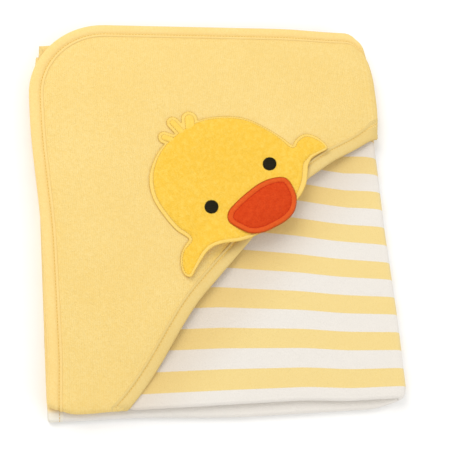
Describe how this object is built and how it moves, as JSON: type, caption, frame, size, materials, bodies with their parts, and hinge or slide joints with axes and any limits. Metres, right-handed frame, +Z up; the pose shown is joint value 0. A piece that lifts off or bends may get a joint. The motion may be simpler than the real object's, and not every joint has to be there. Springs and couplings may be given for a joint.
{
  "type": "hooded baby towel",
  "caption": "Hooded baby towel folded in four: striped knit cloth, plain corner hood with bound edges and a duck face with a padded beak that lifts.",
  "frame": {"origin": "on the surface the folded towel lies on, under the middle of its outline", "axes": "+X to the right, towards the fold that the towel opens about; +Y away from the front fold; +Z up"},
  "size_m": [0.344, 0.38, 0.0353],
  "materials": {
    "striped_knit": "soft knit terry in even white and pale yellow stripes",
    "hood_terry": "plain pale yellow knit terry, short pile",
    "binding_knit": "smooth pale yellow knit tape, turned over the edge",
    "yellow_thread": "matt yellow sewing thread",
    "duck_fleece": "bright yellow brushed fleece",
    "orange_fleece": "orange-red brushed fleece",
    "orange_thread": "orange embroidery thread",
    "black_thread": "black embroidery thread with a faint sheen",
    "wadding": "white fibre wadding, hidden"
  },
  "bodies": {
    "lower_half": {"lower_cloth": "striped_knit", "lower_edge_binding": "binding_knit", "hood_tail": "hood_terry", "hood_tail_binding": "binding_knit"},
    "upper_half": {"upper_cloth": "striped_knit", "second_layer_binding": "binding_knit", "hood_panel": "hood_terry", "hood_edge_binding": "binding_knit", "hood_mouth_binding": "binding_knit", "edge_topstitch": "yellow_thread", "mouth_topstitch": "yellow_thread", "face_front": "duck_fleece", "face_backing": "hood_terry", "hair_petal_left": "duck_fleece", "hair_petal_middle": "duck_fleece", "hair_petal_right": "duck_fleece", "face_stitching": "yellow_thread", "left_eye": "black_thread", "right_eye": "black_thread"},
    "duck_flap": {"flap_front": "duck_fleece", "flap_backing": "hood_terry", "beak_cover": "orange_fleece", "beak_wadding": "wadding", "beak_stitching": "orange_thread"}
  },
  "joints": [
    {"name": "book_fold", "type": "hinge", "parent": "lower_half", "child": "upper_half", "pos_m": [0.1723, 0, 0.0073], "axis": [0, 1, 0], "range_deg": [0, 170]},
    {"name": "face_flap", "type": "hinge", "parent": "upper_half", "child": "duck_flap", "pos_m": [0.02681, 0.01911, 0.0257], "axis": [-0.7986, -0.6018, 0], "range_deg": [0, 105]}
  ]
}
